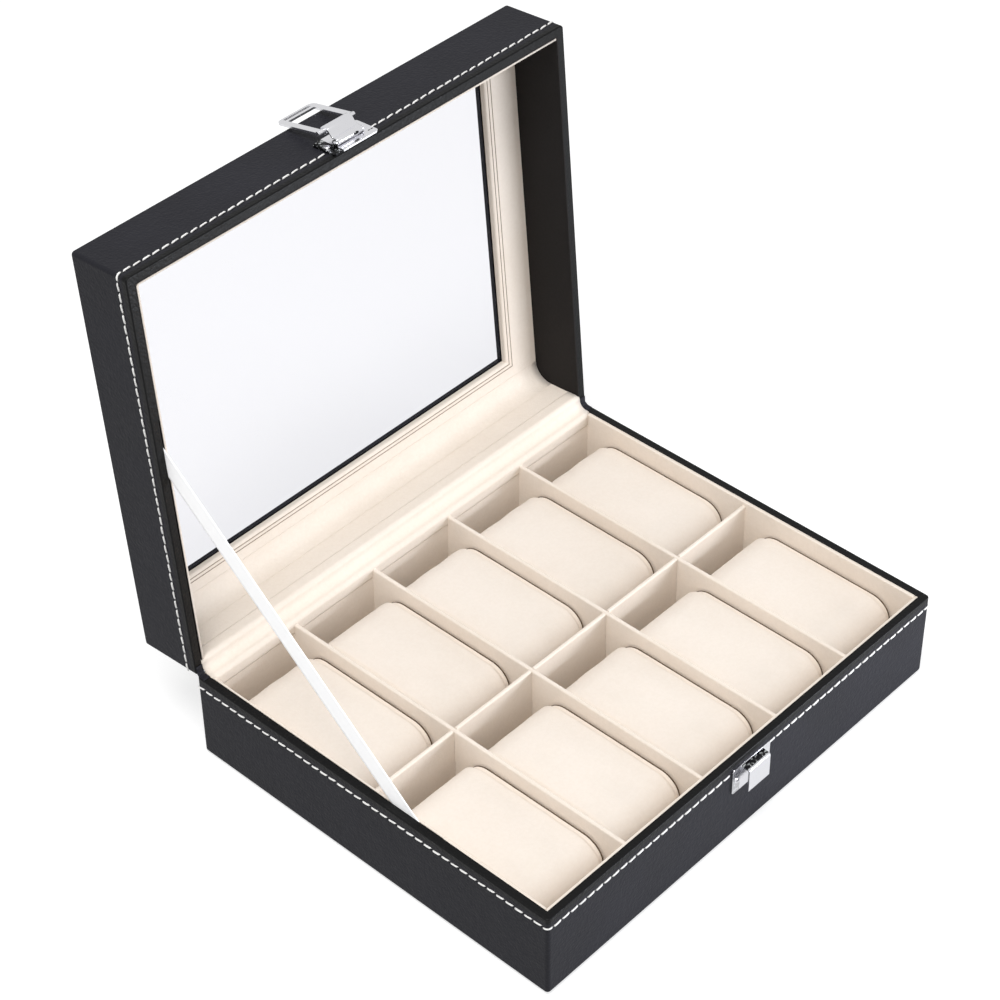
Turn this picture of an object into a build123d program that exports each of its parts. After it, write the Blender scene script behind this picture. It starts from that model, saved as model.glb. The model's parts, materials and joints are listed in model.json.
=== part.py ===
from build123d import *
import os
from math import cos, radians, sin

# A watch box: a leather-covered tray and a hinged lid with a clear window, lined in velvet.
# Millimetres. X runs along the hinge, the catch is at -Y, +Z is up, and the origin is the
# middle of the underside. The lid is modelled open, as it stands when its ribbon is tight.

# Overall sizes
case_width = 255.0
case_depth = 205.0
base_height = 46.0
closed_height = 80.0
lid_open_angle = 94.5
rim_gap = 0.4

# Sheet and board thicknesses
skin = 0.8
board = 3.0
floor_board = 3.0
lining = 1.6
back_lining = 2.4
underside_sheet = 0.8
roof_board = 1.6
pane = 1.0
frame_board = 3.0
divider = 2.0

# Edges and laps of the covering
corner_radius = 1.8
rim_radius = 0.6
foot_radius = 1.2
sheet_inset = 2.0
underside_turn_in = 14.0
spine_reach = 14.0
spine_fold_radius = 1.2
spine_end_inset = 5.0

# The tray's inside
columns = 5
rows = 2
lip_drop = 0.4
lip_round = 0.6
lining_roll = 1.6
divider_drop = 2.4
divider_round = 0.8
lap_clearance = 0.1

# The window in the lid
window_border_x = 24.5
window_border_y = 25.5
window_edge_round = 0.4
frame_edge_round = 1.4
pane_lap = 8.0
pane_clearance = 0.5

# The watch pillows
pillow_side_clearance = 0.5
pillow_end_gap = 8.4
pillow_height = 31.5
pillow_corner_radius = 11.0
pillow_seat_clearance = 0.3
pillow_wall = 3.0
pillow_crown = 2.2
pillow_shoulder = 2.6

# The ribbon that stops the lid
ribbon_width = 10.0
ribbon_thickness = 0.3
ribbon_slit = 0.5
ribbon_tail = 12.0
ribbon_base_y = -19.5
ribbon_lid_y = -10.6
slit_depth = 13.0

# The latch: a plate with two ears on the lid, a lever on a pin between them, a loop that
# hangs on the lever, and a catch plate on the tray with a hook that opens downward
plate_metal = 0.8
plate_corner = 1.5
lid_plate_width = 26.0
lid_plate_height = 14.0
plate_edge_gap = 0.4
lever_pin_rise = 5.2
lever_pin_stand = 2.6
lever_pin_radius = 0.7
pin_clearance = 0.08
ear_thickness = 0.8
ear_wall = 0.6
ear_gap = 0.15
lever_width = 14.4
lever_metal = 0.7
lever_knee = 2.4
lever_bend_radius = 1.6
loop_bar_rise = 12.4
loop_bar_stand = 5.5
loop_bar_radius = 1.0
loop_side_gap = 0.2
loop_side_width = 3.2
loop_metal = 1.0
loop_reach = 26.1
loop_crossbar = 4.6
loop_corner_radius = 3.0
loop_tilt = 8.6
groove_width = 0.9
groove_inset = 1.9
groove_depth = 0.4
catch_width = 25.0
catch_height = 14.3
catch_drop = 3.7
hook_width = 14.0
hook_stand = 5.0
hook_height = 12.6
hook_slope = 0.5
hook_bend_radius = 1.0
nail_head_radius = 1.4
nail_head_height = 0.6
nail_head_fillet = 0.4
nail_shank_radius = 0.6
nail_shank_length = 3.2
lid_nail_spacing = 21.0
catch_nail_spacing = 19.6

# Places that follow from the sizes
hinge_y = case_depth / 2
hinge_z = base_height + rim_gap / 2
open_cos = cos(radians(lid_open_angle))
open_sin = sin(radians(lid_open_angle))
board_width = case_width - 2 * skin
board_depth = case_depth - 2 * skin
well_width = board_width - 2 * board
well_depth = board_depth - 2 * board
wall_total = skin + board
floor_bottom = underside_sheet + skin
floor_top = floor_bottom + floor_board
lining_top = floor_top + lining
wall_top = base_height - skin
lip_top = base_height - lip_drop

inner_width = well_width - 2 * lining
inner_front = -(well_depth / 2 - lining)
inner_back = well_depth / 2 - back_lining
inner_depth = inner_back - inner_front
inner_middle = (inner_back + inner_front) / 2
slot_width = (inner_width - (columns - 1) * divider) / columns
slot_depth = (inner_depth - (rows - 1) * divider) / rows
divider_top = base_height - divider_drop
divider_middle = (lining_top + divider_top) / 2
lap_width = divider + 2 * lap_clearance

lid_rim = rim_gap / 2
lid_top = closed_height - hinge_z
roof_bottom = lid_top - skin - roof_board
pane_bottom = roof_bottom - pane
frame_bottom = pane_bottom - frame_board
lid_middle_y = -case_depth / 2
window_width = case_width - 2 * window_border_x
window_depth = case_depth - 2 * window_border_y

# The lid's own planes: flat on its rim, and side-on, both turned with the lid about the hinge
lid_flat = Plane(origin=(0, hinge_y, hinge_z), x_dir=(1, 0, 0), z_dir=(0, open_sin, open_cos))
lid_side = Plane(origin=lid_flat.origin, x_dir=lid_flat.y_dir, z_dir=(1, 0, 0))

# The two front faces, seen from outside with the lid shut, and the nails that go in there
lid_face = -case_depth
lid_front = Plane(
    origin=lid_side.from_local_coords((lid_face, 0, 0)),
    x_dir=(1, 0, 0),
    z_dir=lid_flat.y_dir * -1,
)
base_front = Plane(origin=(0, -case_depth / 2, 0), x_dir=(1, 0, 0), z_dir=(0, -1, 0))
plate_start = lid_rim + plate_edge_gap
catch_top = base_height - catch_drop
lid_nail_z = plate_start + lid_plate_height / 2
catch_nail_z = catch_top - catch_height / 2
lid_nails = [(side * lid_nail_spacing / 2, lid_nail_z) for side in (-1, 1)]
catch_nails = [(side * catch_nail_spacing / 2, catch_nail_z) for side in (-1, 1)]

os.makedirs("parts", exist_ok=True)


def write(piece, name):
    """Label a finished piece and write its STEP file."""
    piece.part.label = name
    export_step(piece.part, f"parts/{name}.step")


# Tray boards: a floor with four walls standing on it
with BuildPart() as base_floor:
    with BuildSketch(Plane.XY.offset(floor_bottom)):
        Rectangle(board_width, board_depth)
    extrude(amount=floor_board)
write(base_floor, "base_floor")

for name, side in (("front", -1), ("back", 1)):
    with BuildPart() as base_wall:
        with BuildSketch(Plane.XY.offset(floor_top)):
            with Locations((0, side * (board_depth - board) / 2)):
                Rectangle(board_width, board)
        extrude(amount=wall_top - floor_top)
        if side < 0:
            with BuildSketch(base_front):
                with Locations(catch_nails):
                    Circle(nail_shank_radius)
            extrude(amount=-nail_shank_length, mode=Mode.SUBTRACT)
    write(base_wall, f"base_wall_{name}")

for name, side in (("left", -1), ("right", 1)):
    with BuildPart() as base_wall:
        with BuildSketch(Plane.XY.offset(floor_top)):
            with Locations((side * (board_width - board) / 2, 0)):
                Rectangle(board, well_depth)
        extrude(amount=wall_top - floor_top)
    write(base_wall, f"base_wall_{name}")

# Tray covering: one skin round the walls, turned over the rim and under the floor.
# On the hinge side the lining lies on the rim instead.
with BuildPart() as base_wrap:
    with BuildSketch(Plane.XY.offset(underside_sheet)):
        RectangleRounded(case_width, case_depth, corner_radius)
    extrude(amount=base_height - underside_sheet)
    top_edges = base_wrap.faces().sort_by(Axis.Z)[-1].edges()
    fillet(top_edges, rim_radius)
    bottom_edges = base_wrap.faces().sort_by(Axis.Z)[0].edges()
    fillet(bottom_edges, min(foot_radius, 1.5 * skin))
    with BuildSketch(Plane.XY.offset(floor_bottom)):
        Rectangle(board_width, board_depth)
    extrude(amount=wall_top - floor_bottom, mode=Mode.SUBTRACT)
    with BuildSketch(Plane.XY.offset(wall_top)):
        Rectangle(well_width, well_depth)
        with Locations((0, (well_depth + board) / 2)):
            Rectangle(well_width, board)
    extrude(amount=skin, mode=Mode.SUBTRACT)
    with BuildSketch(Plane.XY.offset(underside_sheet)):
        Rectangle(case_width - 2 * underside_turn_in, case_depth - 2 * underside_turn_in)
    extrude(amount=skin, mode=Mode.SUBTRACT)
    with BuildSketch(base_front):
        with Locations(catch_nails):
            Circle(nail_shank_radius)
    extrude(amount=-nail_shank_length, mode=Mode.SUBTRACT)
write(base_wrap, "base_wrap")

with BuildPart() as underside:
    with BuildSketch(Plane.XY):
        RectangleRounded(case_width - 2 * sheet_inset, case_depth - 2 * sheet_inset, corner_radius)
    extrude(amount=underside_sheet)
write(underside, "base_underside_sheet")

# Tray lining: cards covered in velvet
with BuildPart() as lining_floor:
    with BuildSketch(Plane.XY.offset(floor_top)):
        Rectangle(well_width, well_depth)
    extrude(amount=lining)
write(lining_floor, "base_lining_floor")

with BuildPart() as lining_front:
    with BuildSketch(Plane.XY.offset(lining_top)):
        with Locations((0, inner_front - lining / 2)):
            Rectangle(well_width, lining)
    extrude(amount=lip_top - lining_top)
    top_edges = lining_front.edges().filter_by(Axis.X).group_by(Axis.Z)[-1]
    fillet(top_edges.sort_by(Axis.Y)[-1], min(lip_round, 0.45 * lining))
write(lining_front, "base_lining_front")

# The left card has a shallow slit behind its top edge, where the ribbon comes out
for name, side in (("left", -1), ("right", 1)):
    with BuildPart() as lining_side:
        with BuildSketch(Plane.XY.offset(lining_top)):
            with Locations((side * (well_width - lining) / 2, inner_middle)):
                Rectangle(lining, inner_depth)
        extrude(amount=lip_top - lining_top)
        top_edges = lining_side.edges().filter_by(Axis.Y).group_by(Axis.Z)[-1]
        inner_edge = top_edges.sort_by(Axis((0, 0, 0), (-side, 0, 0)))[-1]
        fillet(inner_edge, min(lip_round, 0.45 * lining))
        if side < 0:
            slit_front = ribbon_base_y - ribbon_tail - ribbon_width
            with BuildSketch(Plane.XY.offset(lip_top - slit_depth)):
                with Locations((-well_width / 2, (slit_front + inner_back) / 2)):
                    Rectangle(2 * ribbon_slit, inner_back - slit_front)
            extrude(amount=slit_depth, mode=Mode.SUBTRACT)
    write(lining_side, f"base_lining_{name}")

# The back lining stands against the back wall and is carried over the rim to the hinge
with BuildPart() as lining_back:
    with BuildSketch(Plane.XY.offset(lining_top)):
        with Locations((0, well_depth / 2 - back_lining / 2)):
            Rectangle(well_width, back_lining)
    extrude(amount=base_height - lining_top)
    with BuildSketch(Plane.XY.offset(wall_top)):
        with Locations((0, (well_depth + board) / 2)):
            Rectangle(well_width, board)
    extrude(amount=skin)
    top_edges = lining_back.edges().filter_by(Axis.X).group_by(Axis.Z)[-1]
    fillet(top_edges.sort_by(Axis.Y)[0], min(lining_roll, 0.7 * back_lining))
write(lining_back, "base_lining_back")

# Dividers: one long board and four short ones, halved into each other
divider_x = [(n - columns / 2 + 1) * (slot_width + divider) for n in range(columns - 1)]
with BuildPart() as long_divider:
    with BuildSketch(Plane.XY.offset(lining_top)):
        with Locations((0, inner_middle)):
            Rectangle(inner_width, divider)
    extrude(amount=divider_top - lining_top)
    with BuildSketch(Plane.XY.offset(divider_middle)):
        with Locations([(x, inner_middle) for x in divider_x]):
            Rectangle(lap_width, divider)
    extrude(amount=divider_top - divider_middle, mode=Mode.SUBTRACT)
    top_edges = long_divider.edges().filter_by(Axis.X).group_by(Axis.Z)[-1]
    fillet(top_edges, min(divider_round, 0.45 * divider))
write(long_divider, "divider_long")

for n, x in enumerate(divider_x, 1):
    with BuildPart() as cross_divider:
        with BuildSketch(Plane.XY.offset(lining_top)):
            with Locations((x, inner_middle)):
                Rectangle(divider, inner_depth)
        extrude(amount=divider_top - lining_top)
        with BuildSketch(Plane.XY.offset(lining_top)):
            with Locations((x, inner_middle)):
                Rectangle(divider, lap_width)
        extrude(amount=divider_middle - lining_top, mode=Mode.SUBTRACT)
        top_edges = cross_divider.edges().filter_by(Axis.Y).group_by(Axis.Z)[-1]
        fillet(top_edges, min(divider_round, 0.45 * divider))
    write(cross_divider, f"divider_cross_{n}")

# Pillows: a foam block in a crowned cover, one in each slot, shorter than the slot
pillow_width = slot_width - 2 * pillow_side_clearance
pillow_length = slot_depth - 2 * pillow_end_gap
pillow_bottom = lining_top + pillow_seat_clearance
pillow_z = pillow_bottom + pillow_height / 2
core_radius = pillow_corner_radius - pillow_wall
half_pillow = pillow_width / 2
shoulder_crown = 0.3 * pillow_crown
belly_crown = 0.05 * pillow_crown
pillow_sections = [
    (-half_pillow, pillow_crown),
    (-half_pillow + pillow_shoulder, shoulder_crown),
    (-half_pillow / 2, belly_crown),
    (0, 0),
    (half_pillow / 2, belly_crown),
    (half_pillow - pillow_shoulder, shoulder_crown),
    (half_pillow, pillow_crown),
]
for row in range(rows):
    y = inner_front + (row + 0.5) * slot_depth + row * divider
    for column in range(columns):
        x = (column - (columns - 1) / 2) * (slot_width + divider)
        number = row * columns + column + 1
        with BuildPart() as core:
            with BuildSketch(Plane.YZ.offset(x)):
                with Locations((y, pillow_z)):
                    RectangleRounded(pillow_length - 2 * pillow_wall, pillow_height - 2 * pillow_wall,
                                     core_radius)
            extrude(amount=half_pillow - pillow_wall, both=True)
        with BuildPart() as cover:
            for along, inset in pillow_sections:
                with BuildSketch(Plane.YZ.offset(x + along)):
                    with Locations((y, pillow_z)):
                        RectangleRounded(pillow_length - 2 * inset, pillow_height - 2 * inset,
                                         pillow_corner_radius - inset / 2)
            loft()
            add(core.part, mode=Mode.SUBTRACT)
        write(core, f"pillow_core_{number}")
        write(cover, f"pillow_cover_{number}")

# Lid boards: four walls under a roof frame
for name, y in (("front", -(case_depth - skin - board / 2)), ("back", -(skin + board / 2))):
    with BuildPart() as lid_wall:
        with BuildSketch(lid_flat.offset(lid_rim + skin)):
            with Locations((0, y)):
                Rectangle(board_width, board)
        extrude(amount=roof_bottom - lid_rim - skin)
        if name == "front":
            with BuildSketch(lid_front):
                with Locations(lid_nails):
                    Circle(nail_shank_radius)
            extrude(amount=-nail_shank_length, mode=Mode.SUBTRACT)
    write(lid_wall, f"lid_wall_{name}")

for name, side in (("left", -1), ("right", 1)):
    with BuildPart() as lid_wall:
        with BuildSketch(lid_flat.offset(lid_rim + skin)):
            with Locations((side * (board_width - board) / 2, lid_middle_y)):
                Rectangle(board, well_depth)
        extrude(amount=roof_bottom - lid_rim - skin)
    write(lid_wall, f"lid_wall_{name}")

with BuildPart() as lid_roof:
    with BuildSketch(lid_flat.offset(roof_bottom)):
        with Locations((0, lid_middle_y)):
            Rectangle(board_width, board_depth)
            Rectangle(window_width + 2 * skin, window_depth + 2 * skin, mode=Mode.SUBTRACT)
    extrude(amount=roof_board)
write(lid_roof, "lid_roof_board")

# Lid covering: over the walls and the roof, turned in at the window and over the rim
with BuildPart() as lid_wrap:
    with BuildSketch(lid_flat.offset(lid_rim)):
        with Locations((0, lid_middle_y)):
            RectangleRounded(case_width, case_depth, corner_radius)
    extrude(amount=lid_top - lid_rim)
    by_height = lid_wrap.faces().sort_by(Axis(lid_flat.origin, lid_flat.z_dir))
    fillet(by_height[0].edges(), rim_radius)
    by_height = lid_wrap.faces().sort_by(Axis(lid_flat.origin, lid_flat.z_dir))
    fillet(by_height[-1].edges(), min(foot_radius, 1.5 * skin))
    with BuildSketch(lid_flat.offset(lid_rim + skin)):
        with Locations((0, lid_middle_y)):
            Rectangle(board_width, board_depth)
    extrude(amount=roof_bottom - lid_rim - skin, mode=Mode.SUBTRACT)
    with BuildSketch(lid_flat.offset(roof_bottom)):
        with Locations((0, lid_middle_y)):
            Rectangle(board_width, board_depth)
            Rectangle(window_width + 2 * skin, window_depth + 2 * skin, mode=Mode.SUBTRACT)
    extrude(amount=roof_board, mode=Mode.SUBTRACT)
    with BuildSketch(lid_flat.offset(roof_bottom)):
        with Locations((0, lid_middle_y)):
            Rectangle(window_width, window_depth)
    extrude(amount=roof_board + skin, mode=Mode.SUBTRACT)
    by_height = lid_wrap.faces().sort_by(Axis(lid_flat.origin, lid_flat.z_dir))
    fillet(by_height[-1].inner_wires()[0].edges(), min(window_edge_round, 0.6 * skin))
    with BuildSketch(lid_flat.offset(lid_rim)):
        with Locations((0, lid_middle_y)):
            Rectangle(well_width, well_depth)
        with Locations((0, -skin - board / 2)):
            Rectangle(well_width, board)
    extrude(amount=skin, mode=Mode.SUBTRACT)
    with BuildSketch(lid_front):
        with Locations(lid_nails):
            Circle(nail_shank_radius)
    extrude(amount=-nail_shank_length, mode=Mode.SUBTRACT)
write(lid_wrap, "lid_wrap")

# The window pane and the lined frame that holds it up against the roof
pane_width = min(window_width + 2 * pane_lap, well_width - 2 * pane_clearance)
pane_depth = min(window_depth + 2 * pane_lap, well_depth - 2 * pane_clearance)
with BuildPart() as window_pane:
    with BuildSketch(lid_flat.offset(pane_bottom)):
        with Locations((0, lid_middle_y)):
            Rectangle(pane_width, pane_depth)
    extrude(amount=pane)
write(window_pane, "lid_window_pane")

with BuildPart() as inner_frame:
    with BuildSketch(lid_flat.offset(frame_bottom)):
        with Locations((0, lid_middle_y)):
            Rectangle(well_width, well_depth)
            Rectangle(window_width, window_depth, mode=Mode.SUBTRACT)
    extrude(amount=frame_board)
    by_height = inner_frame.faces().sort_by(Axis(lid_flat.origin, lid_flat.z_dir))
    fillet(by_height[0].inner_wires()[0].edges(), min(frame_edge_round, 0.6 * frame_board))
write(inner_frame, "lid_inner_frame")

# Inside the lid: skin-covered facings on three walls, velvet on the hinge side
with BuildPart() as facing_front:
    with BuildSketch(lid_flat.offset(lid_rim)):
        with Locations((0, -(case_depth - wall_total - skin / 2))):
            Rectangle(well_width, skin)
    extrude(amount=frame_bottom - lid_rim)
write(facing_front, "lid_facing_front")

facing_back = -wall_total - back_lining
facing_length = well_depth - skin - back_lining
for name, side in (("left", -1), ("right", 1)):
    with BuildPart() as facing_side:
        with BuildSketch(lid_flat.offset(lid_rim)):
            with Locations((side * (well_width - skin) / 2, facing_back - facing_length / 2)):
                Rectangle(skin, facing_length)
        extrude(amount=frame_bottom - lid_rim)
        if side < 0:
            slit_front = ribbon_lid_y - hinge_y - ribbon_tail - ribbon_width
            with BuildSketch(lid_flat.offset(lid_rim)):
                with Locations((-well_width / 2, (slit_front + facing_back) / 2)):
                    Rectangle(2 * min(ribbon_slit, 0.65 * skin), facing_back - slit_front)
            extrude(amount=slit_depth, mode=Mode.SUBTRACT)
    write(facing_side, f"lid_facing_{name}")

with BuildPart() as lid_lining:
    with BuildSketch(lid_flat.offset(lid_rim)):
        with Locations((0, -wall_total - back_lining / 2)):
            Rectangle(well_width, back_lining)
    extrude(amount=frame_bottom - lid_rim)
    with BuildSketch(lid_flat.offset(lid_rim)):
        with Locations((0, -skin - board / 2)):
            Rectangle(well_width, board)
    extrude(amount=skin)
    rim_edges = lid_lining.edges().filter_by(Axis.X).group_by(Axis(lid_flat.origin, lid_flat.z_dir))[0]
    inner_edge = rim_edges.sort_by(Axis(lid_flat.origin, lid_flat.y_dir))[0]
    fillet(inner_edge, min(lining_roll, 0.7 * back_lining))
write(lid_lining, "lid_lining_back")

# The spine: a strip of skin over both backs, which is the hinge
fold_drop = skin / 2 * (1 - open_cos) / open_sin
spine_lid_end = (
    hinge_y + open_cos * skin / 2 + open_sin * spine_reach,
    hinge_z - open_sin * skin / 2 + open_cos * spine_reach,
)
with BuildPart() as spine:
    with BuildSketch(Plane.YZ):
        with BuildLine():
            FilletPolyline(
                (hinge_y + skin / 2, hinge_z - spine_reach),
                (hinge_y + skin / 2, hinge_z - fold_drop),
                spine_lid_end,
                radius=spine_fold_radius,
            )
        trace(line_width=skin)
    extrude(amount=case_width / 2 - spine_end_inset, both=True)
write(spine, "hinge_spine")

# The ribbon: a straight strip from the slit in the tray's lining to the slit in the lid's
ribbon_x = -well_width / 2 + ribbon_slit / 2
lid_run = hinge_y - ribbon_lid_y
ribbon_start = Vector(ribbon_x, ribbon_base_y, base_height)
ribbon_end = Vector(ribbon_x, hinge_y - lid_run * open_cos, hinge_z + lid_run * open_sin)
ribbon_run = ribbon_end - ribbon_start
ribbon_plane = Plane(origin=(ribbon_start + ribbon_end) / 2, x_dir=ribbon_run, z_dir=(1, 0, 0))
ribbon_length = ribbon_run.length + 2 * ribbon_tail
with BuildPart() as ribbon:
    with BuildSketch(ribbon_plane):
        Rectangle(ribbon_length, ribbon_width)
    extrude(amount=ribbon_thickness / 2, both=True)
write(ribbon, "ribbon_stay")

# Latch plate on the lid's front, with an ear at each end of the lever's pin
pin_y = lid_face - lever_pin_stand
pin_z = lid_rim + lever_pin_rise
ear_x = lever_width / 2 + ear_gap + ear_thickness / 2
ear_radius = lever_pin_radius + ear_wall
with BuildPart() as latch_plate:
    with BuildSketch(lid_front):
        with Locations((0, plate_start + lid_plate_height / 2)):
            RectangleRounded(lid_plate_width, lid_plate_height, plate_corner)
        with Locations(lid_nails):
            Circle(nail_shank_radius, mode=Mode.SUBTRACT)
    extrude(amount=plate_metal)
    for side in (-1, 1):
        with BuildSketch(lid_side.offset(side * ear_x)):
            with Locations(((lid_face + pin_y) / 2, pin_z)):
                Rectangle(lever_pin_stand, 2 * ear_radius)
            with Locations((pin_y, pin_z)):
                Circle(ear_radius)
                Circle(lever_pin_radius, mode=Mode.SUBTRACT)
        extrude(amount=ear_thickness / 2, both=True)
write(latch_plate, "latch_plate")

with BuildPart() as latch_pin:
    with BuildSketch(lid_side):
        with Locations((pin_y, pin_z)):
            Circle(lever_pin_radius)
    extrude(amount=ear_x + ear_thickness / 2, both=True)
write(latch_pin, "latch_pin")

# Latch lever: one strip, rolled round the pin at one end and round the loop's bar at the other
bar_y = lid_face - loop_bar_stand
bar_z = lid_rim + loop_bar_rise
pin_bore = lever_pin_radius + pin_clearance
bar_bore = loop_bar_radius + pin_clearance
with BuildPart() as latch_lever:
    with BuildSketch(lid_side):
        with Locations((pin_y, pin_z)):
            Circle(pin_bore + lever_metal)
        with Locations((bar_y, bar_z)):
            Circle(bar_bore + lever_metal)
        with BuildLine():
            FilletPolyline(
                (pin_y - pin_bore - lever_metal / 2, pin_z),
                (pin_y - pin_bore - lever_metal / 2, pin_z + lever_knee),
                (bar_y - bar_bore - lever_metal / 2, bar_z - lever_knee),
                (bar_y - bar_bore - lever_metal / 2, bar_z),
                radius=lever_bend_radius,
            )
        trace(line_width=lever_metal)
        with Locations((pin_y, pin_z)):
            Circle(pin_bore, mode=Mode.SUBTRACT)
        with Locations((bar_y, bar_z)):
            Circle(bar_bore, mode=Mode.SUBTRACT)
    extrude(amount=lever_width / 2, both=True)
write(latch_lever, "latch_lever")

# Latch loop: a flat frame whose near side is the round bar that turns in the lever
loop_window = lever_width + 2 * loop_side_gap
loop_width = loop_window + 2 * loop_side_width
loop_flat = Plane(
    origin=lid_side.from_local_coords((bar_y, bar_z, 0)),
    x_dir=(1, 0, 0),
    z_dir=lid_flat.z_dir * sin(radians(loop_tilt)) - lid_flat.y_dir * cos(radians(loop_tilt)),
)
with BuildPart() as latch_loop:
    with BuildSketch(loop_flat.offset(-loop_metal / 2)):
        with Locations((0, loop_reach / 2)):
            Rectangle(loop_width, loop_reach)
        far_corners = vertices().group_by(Axis.Y)[-1]
        fillet(far_corners, loop_corner_radius)
        with Locations((0, (loop_reach - loop_crossbar) / 2)):
            Rectangle(loop_window, loop_reach - loop_crossbar, mode=Mode.SUBTRACT)
    extrude(amount=loop_metal)
    with BuildSketch(loop_flat.offset(loop_metal / 2)):
        with Locations((0, loop_reach - groove_inset)):
            Rectangle(loop_window, groove_width)
    extrude(amount=-groove_depth, mode=Mode.SUBTRACT)
    with BuildSketch(lid_side):
        with Locations((bar_y, bar_z)):
            Circle(loop_bar_radius)
    extrude(amount=loop_width / 2, both=True)
write(latch_loop, "latch_loop")

# Catch plate on the tray's front, with the hook that holds the loop's far side
tray_face = -case_depth / 2
with BuildPart() as catch_plate:
    with BuildSketch(base_front):
        with Locations((0, catch_nail_z)):
            RectangleRounded(catch_width, catch_height, plate_corner)
        with Locations(catch_nails):
            Circle(nail_shank_radius, mode=Mode.SUBTRACT)
    extrude(amount=plate_metal)
    with BuildSketch(Plane.YZ):
        with BuildLine():
            FilletPolyline(
                (tray_face - plate_metal / 2, catch_top - 3 * hook_bend_radius),
                (tray_face - plate_metal / 2, catch_top - plate_metal / 2),
                (tray_face - hook_stand, catch_top - plate_metal / 2 - hook_slope),
                (tray_face - hook_stand, catch_top - hook_slope - hook_height),
                radius=hook_bend_radius,
            )
        trace(line_width=plate_metal)
    extrude(amount=hook_width / 2, both=True)
write(catch_plate, "catch_plate")

# Round-headed nails through the plates into the boards
for kind, face, places in (("latch", lid_front, lid_nails), ("catch", base_front, catch_nails)):
    with BuildPart() as nails:
        with BuildSketch(face.offset(-nail_shank_length)):
            with Locations(places):
                Circle(nail_shank_radius)
        extrude(amount=nail_shank_length + plate_metal)
        with BuildSketch(face.offset(plate_metal)):
            with Locations(places):
                Circle(nail_head_radius)
        extrude(amount=nail_head_height)
        head_edges = nails.edges().filter_by(GeomType.CIRCLE).group_by(Axis(face.origin, face.z_dir))[-1]
        fillet(head_edges, min(nail_head_fillet, 0.9 * nail_head_height))
    write(nails, f"{kind}_nails")
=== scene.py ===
import json
import math

import bmesh
import bpy
import numpy as np
from mathutils import Matrix, Vector


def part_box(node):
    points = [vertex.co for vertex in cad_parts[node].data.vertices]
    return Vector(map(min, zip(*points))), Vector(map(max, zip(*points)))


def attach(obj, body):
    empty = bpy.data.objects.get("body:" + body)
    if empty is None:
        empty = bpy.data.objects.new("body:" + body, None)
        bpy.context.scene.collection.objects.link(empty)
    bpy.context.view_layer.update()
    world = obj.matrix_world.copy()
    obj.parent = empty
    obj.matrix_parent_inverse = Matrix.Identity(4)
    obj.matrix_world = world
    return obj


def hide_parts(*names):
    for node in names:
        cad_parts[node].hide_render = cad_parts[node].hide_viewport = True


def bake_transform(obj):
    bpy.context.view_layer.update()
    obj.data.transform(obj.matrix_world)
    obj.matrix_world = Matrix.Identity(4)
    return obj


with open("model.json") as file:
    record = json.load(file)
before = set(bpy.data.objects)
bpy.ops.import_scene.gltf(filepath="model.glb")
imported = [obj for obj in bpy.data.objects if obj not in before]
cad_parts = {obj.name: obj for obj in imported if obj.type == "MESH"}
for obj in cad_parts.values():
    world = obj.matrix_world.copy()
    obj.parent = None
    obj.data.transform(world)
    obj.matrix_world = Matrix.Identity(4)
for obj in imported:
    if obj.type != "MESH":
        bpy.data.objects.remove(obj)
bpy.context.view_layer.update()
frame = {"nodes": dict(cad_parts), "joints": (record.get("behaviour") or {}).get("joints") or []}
nodes = frame["nodes"]
joints = {joint["name"]: joint for joint in frame["joints"]}


# Boards and underside
# Walls, floor and roof are raw fibreboard, glued edge to edge and hidden by the covering on all sides.
# A black flocked sheet is glued under the floor last, over the covering's turned-in edges.
MM = 0.001


class Socket:
    """One output of a node in a finish. Python's operators add the Math nodes that they name."""

    def __init__(self, finish, output):
        self.finish = finish
        self.output = output

    def maths(self, operation, *values):
        """Adds a Math node on sockets or numbers, in the order they are given."""
        return self.finish.node("ShaderNodeMath", {"operation": operation}, dict(enumerate(values)))

    def __add__(self, other):
        return self.maths("ADD", self, other)

    def __radd__(self, other):
        return self.maths("ADD", other, self)

    def __sub__(self, other):
        return self.maths("SUBTRACT", self, other)

    def __rsub__(self, other):
        return self.maths("SUBTRACT", other, self)

    def __mul__(self, other):
        return self.maths("MULTIPLY", self, other)

    def __rmul__(self, other):
        return self.maths("MULTIPLY", other, self)

    def __abs__(self):
        return self.maths("ABSOLUTE", self)

    def ramp(self, low, high):
        """A smooth step from 0 at low to 1 at high."""
        sockets = {"Value": self, "From Min": low, "From Max": high}
        return self.finish.node("ShaderNodeMapRange", {"interpolation_type": "SMOOTHSTEP"}, sockets)


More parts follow.
